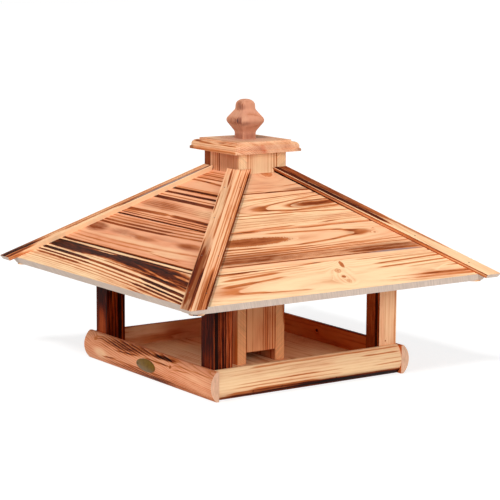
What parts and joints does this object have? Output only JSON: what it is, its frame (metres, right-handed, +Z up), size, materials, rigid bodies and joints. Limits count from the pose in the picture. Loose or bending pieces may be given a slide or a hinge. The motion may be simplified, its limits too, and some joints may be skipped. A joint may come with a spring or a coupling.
{
  "type": "bird table",
  "caption": "Wooden bird table with a hipped board roof, a seed silo through its middle under a lift-off lid, and a railed feeding tray.",
  "frame": {"origin": "middle of the underside, where the floor panel and rails rest", "axes": "+Z up; -Y towards the front, whose rail fits between the side rails; -X towards the side rail with the plate"},
  "size_m": [0.6322, 0.6322, 0.4712],
  "materials": {
    "roof_wood": "flame-charred pine, brushed, grain standing out dark brown to black",
    "cover_wood": "flame-charred pine mouldings, dark charred edges",
    "rail_wood": "lightly charred pine mouldings with strong grain",
    "post_wood": "deeply charred pine, nearly black streaks",
    "silo_wood": "lightly charred pine with upright grain",
    "rafter_wood": "dark brown pine",
    "floor_wood": "plain pale brown pine, matt",
    "lid_wood": "lightly charred pine, moulded edge",
    "finial_wood": "charred pine, smooth",
    "brass": "dull brass sheet and pins",
    "steel": "zinc-plated screws and nails"
  },
  "bodies": {
    "house": {"floor_panel": "floor_wood", "rail_left": "rail_wood", "rail_right": "rail_wood", "rail_front": "rail_wood", "rail_back": "rail_wood", "post_front_left": "post_wood", "post_front_right": "post_wood", "post_back_left": "post_wood", "post_back_right": "post_wood", "silo_side_left": "silo_wood", "silo_side_right": "silo_wood", "silo_front": "silo_wood", "silo_back": "silo_wood", "hip_rafter_front_left": "rafter_wood", "hip_rafter_front_right": "rafter_wood", "hip_rafter_back_left": "rafter_wood", "hip_rafter_back_right": "rafter_wood", "roof_front_board_1": "roof_wood", "roof_left_board_1": "roof_wood", "roof_back_board_1": "roof_wood", "roof_right_board_1": "roof_wood", "roof_front_board_2": "roof_wood", "roof_left_board_2": "roof_wood", "roof_back_board_2": "roof_wood", "roof_right_board_2": "roof_wood", "roof_front_board_3": "roof_wood", "roof_left_board_3": "roof_wood", "roof_back_board_3": "roof_wood", "roof_right_board_3": "roof_wood", "roof_front_board_4": "roof_wood", "roof_left_board_4": "roof_wood", "roof_back_board_4": "roof_wood", "roof_right_board_4": "roof_wood", "hip_cover_front_left": "cover_wood", "hip_cover_front_right": "cover_wood", "hip_cover_back_left": "cover_wood", "hip_cover_back_right": "cover_wood", "name_plate": "brass", "plate_tacks": "brass", "floor_screws": "steel", "rail_screws": "steel", "rafter_screws": "steel", "silo_screws": "steel", "roof_nails": "steel", "cover_pins": "steel"},
    "lid": {"cap_board": "lid_wood", "lid_block": "floor_wood", "finial": "finial_wood", "lid_block_screws": "steel", "finial_screw": "steel"}
  },
  "joints": [
    {"name": "lid_lift", "type": "slide", "parent": "house", "child": "lid", "axis": [0, 0, 1], "range_m": [0, 0.12]}
  ]
}
